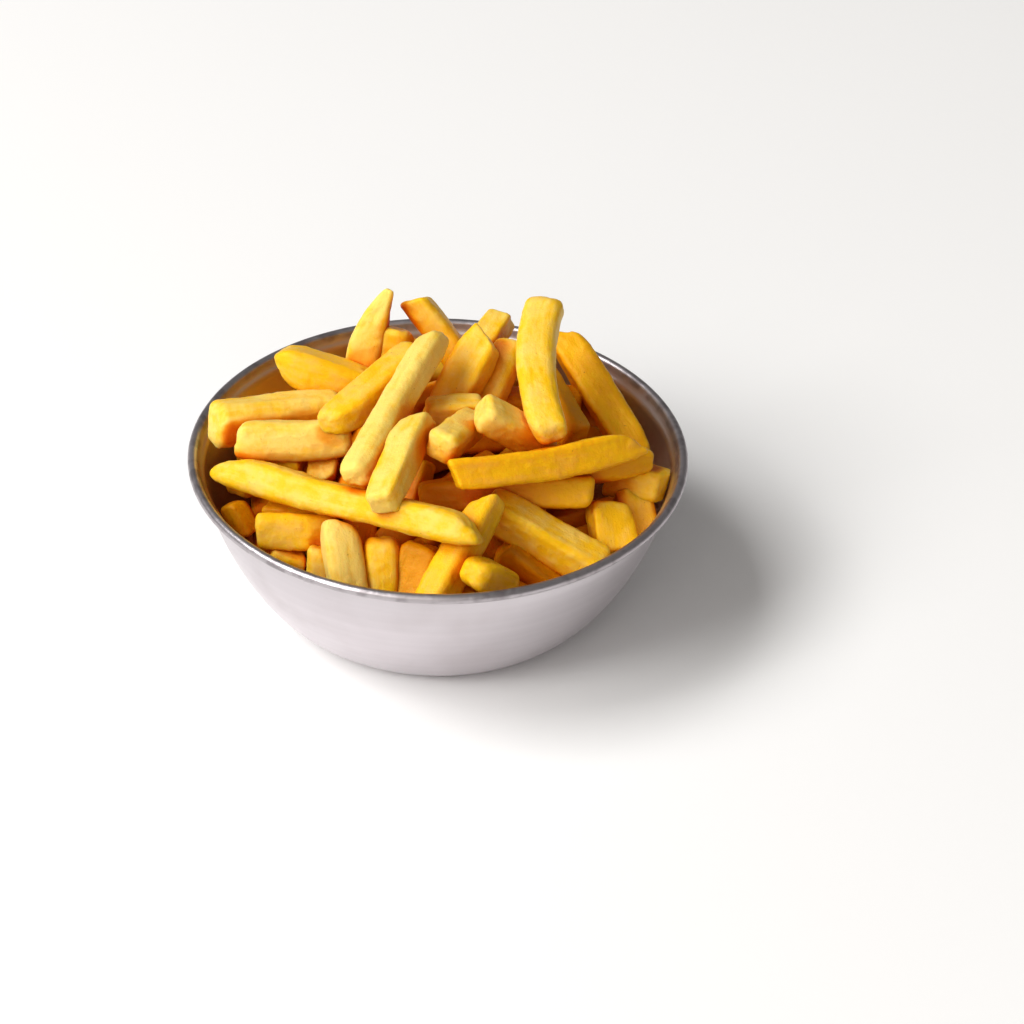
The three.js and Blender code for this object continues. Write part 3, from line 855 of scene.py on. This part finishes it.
def bowl_profile():
    """From the middle of the base, up outside, over the rolled bead and down inside."""
    wall_top = np.array([WALL_TOP_RADIUS, WALL_TOP_HEIGHT])
    bead = (RIM_RADIUS - BEAD_RADIUS, BOWL_HEIGHT - BEAD_RADIUS)
    halfway, inner = BASE_RADIUS / 2, BASE_RADIUS - SHEET
    base = [(0, 0), (halfway, 0), (BASE_RADIUS - BASE_CORNER, 0),
            (BASE_RADIUS + BASE_CORNER_POINT[0], BASE_CORNER_POINT[1])]
    floor = [(inner, SHEET), (inner - INNER_CORNER, SHEET), (halfway, SHEET), (0, SHEET)]
    return np.concatenate([base, wall_profile(0, True), wall_top + NECK,
                           arc(bead, BEAD_RADIUS, BEAD_START, BEAD_SWEEP, BEAD_STEPS),
                           wall_top + THROAT, wall_profile(SHEET, False)[::-1], floor])


def lathe(profile, steps):
    """Rings of points from a profile that starts and ends on the axis."""
    angles = np.arange(steps) / steps * 2 * math.pi
    radii, heights = profile[:, 0, None], profile[:, 1, None]
    return np.stack([radii * np.cos(angles), radii * np.sin(angles),
                     heights + 0 * angles], axis=-1)


def ring_mesh(name, grid, finish):
    """A closed mesh from rings that begin and end in one point."""
    quads, tail, head = skin_faces(*grid.shape[:2])
    faces = quads.tolist() + tail.tolist() + head.tolist()
    return mesh_object(name, flat_points(grid), faces, finish)


def make_bowl():
    """The bowl, whose points keep whether they are on its inside, where the fries' reflection is
    painted.
    """
    grid = lathe(bowl_profile(), ROUND_STEPS)
    bowl = ring_mesh("spun_bowl", grid, spun_aluminium())
    inside = np.zeros(grid.shape[:2])
    inside[-WALL_STEPS - FLOOR_RINGS:] = 1
    keep_on_points(bowl.data, "inside", flat_points(inside))
    return bowl


# ---- Core -------------------------------------------------------------------
CORE_CLEARANCE = 0.5
CORE_LUMP, CORE_LUMP_SIZE = 1.5, (9, 7, 9)
CORE_ROUND_STEPS = 120
LID_RINGS = 40
SIDE_RINGS = 12
CORE_GRAIN = 40
# the core's look: low paleness and full painted shade, as dark as a gap between fries
CORE_LOOK = {"rib": 0.2, "tip": 0, "pale": -0.3, "shelter": 2}


def make_core(finish):
    """A low mound under the buried fries, lumpy like more of them, and painted as dark as a shaded gap.
    """
    inset, edge_height = SHEET + GAP + CORE_CLEARANCE, CORE_EDGE_HEIGHT - CORE_DROP
    heights = np.linspace(inset, edge_height, SIDE_RINGS)[:-1]
    side = np.stack([wall_radius(heights, inset), heights], axis=1)
    reach = wall_radius(edge_height, inset)
    lid = [(reach * share, edge_height) for share in np.linspace(1, 0, LID_RINGS)]
    grid = lathe(np.concatenate([[(0, inset)], side, lid]), CORE_ROUND_STEPS)
    mound = grid[len(side) + 2:]  # the lid within its edge
    away = np.hypot(mound[..., 0] - CORE_PEAK[0], mound[..., 1] - CORE_PEAK[1]) / CORE_SPREAD
    rise = (CORE_PEAK_HEIGHT - CORE_EDGE_HEIGHT) * np.exp(-away ** 2)
    mound[..., 2] += rise + CORE_LUMP * ripple(mound, CORE_LUMP_SIZE)
    grid[-1] = grid[-1, 0]
    core = ring_mesh("core", grid, finish)
    points = flat_points(grid)
    keep_on_points(core.data, "grain", points + CORE_GRAIN)
    for key, value in CORE_LOOK.items():
        keep_on_points(core.data, key, np.full(len(points), value, float))
    return core


# ---- Studio -----------------------------------------------------------------
LENS = 120
CAMERA_ELEVATION = math.radians(35.16)
CAMERA_ROLL = math.radians(1.468)
CAMERA_DISTANCE = 1013.7
NEAREST = 50
CAMERA_TARGET = Vector((21.04, 37.68, 0))
FLOOR_REACH = 3000

# In metres and watts: each lamp's name, its place, its width, its power and its colour.
# All face one spot in the bowl.
LAMPS = (
    ("key", (-1.96, -1.39, 1.75), 1.2, 47, (1, 0.985, 0.96)),
    ("high", (-1.8, -0.2, 2.4), 1.4, 57, (1, 0.99, 0.975)),
    ("fill", (-0.6, -2.5, 1.5), 2.2, 22, (1, 0.955, 0.9)),
)
LAMPS_AIM = Vector((0, 0, 0.05))
AIR_COLOUR, AIR_STRENGTH = (1, 0.97, 0.94, 1), 0.17


def place_camera():
    """Looks along +Y and down, turned slightly about its own axis."""
    back = Vector((0, -math.cos(CAMERA_ELEVATION), math.sin(CAMERA_ELEVATION)))
    level = Vector((1, 0, 0))
    upright = back.cross(level)
    right = level * math.cos(CAMERA_ROLL) + upright * math.sin(CAMERA_ROLL)
    up = upright * math.cos(CAMERA_ROLL) - level * math.sin(CAMERA_ROLL)
    camera = bpy.data.objects.new("camera", bpy.data.cameras.new("camera"))
    camera.data.lens = LENS
    camera.data.sensor_fit = "HORIZONTAL"
    camera.data.clip_start = NEAREST * MM
    axes = Matrix((right, up, back)).transposed().to_4x4()
    camera.matrix_world = Matrix.Translation((CAMERA_TARGET + back * CAMERA_DISTANCE) * MM) @ axes
    bpy.context.scene.collection.objects.link(camera)
    bpy.context.scene.camera = camera


def soft_light(name, place, size, power, colour):
    """A square lamp that faces the bowl."""
    lamp = bpy.data.lights.new(name, "AREA")
    lamp.shape, lamp.size = "SQUARE", size
    lamp.energy, lamp.color = power, colour
    light = bpy.data.objects.new(name, lamp)
    light.location = place
    light.rotation_euler = (LAMPS_AIM - Vector(place)).to_track_quat("-Z", "Y").to_euler()
    bpy.context.scene.collection.objects.link(light)


def make_studio():
    """The camera, a floor, the lamps, and the pale light of the room."""
    place_camera()
    corners = FLOOR_REACH * np.array([(-1, -1, 0), (1, -1, 0), (1, 1, 0), (-1, 1, 0)])
    floor = mesh_object("floor", corners, [(0, 1, 2, 3)], pale_floor())
    for lamp in LAMPS:
        soft_light(*lamp)
    world = bpy.data.worlds.new("studio")
    world.use_nodes = True
    background = world.node_tree.nodes["Background"].inputs
    background["Color"].default_value = AIR_COLOUR
    background["Strength"].default_value = AIR_STRENGTH
    scene = bpy.context.scene
    scene.world = world
    scene.view_settings.view_transform = "Standard"
    scene.cycles.use_denoising = True


# ---- The portion ------------------------------------------------------------
def make_portion():
    """The fries over their core, and the bowl."""
    potato = fried_potato()
    top = [Fry(*row) for row in TOP_FRIES]
    strewn = strewn_fries(top)
    buried = buried_fries(top + strewn)
    pile = Pile(top + strewn + buried)
    long = [fry for fry in top if fry.length > LONG_FRY]
    short = [fry for fry in top if fry.length <= LONG_FRY]
    kinds = (("long_fries", long, TOP_DETAIL), ("short_fries", short, TOP_DETAIL),
             ("lower_fries", strewn, LOWER_DETAIL), ("buried_fries", buried, BURIED_DETAIL))
    pieces = [fries_piece(name, fries, pile, detail, seed, potato)
              for seed, (name, fries, detail) in enumerate(kinds, 1)]
    pieces.append(make_core(potato))
    for piece in pieces:
        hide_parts("fries")
        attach(piece, "root")
    bowl = make_bowl()
    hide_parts("bowl")
    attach(bowl, "root")


make_studio()
make_portion()
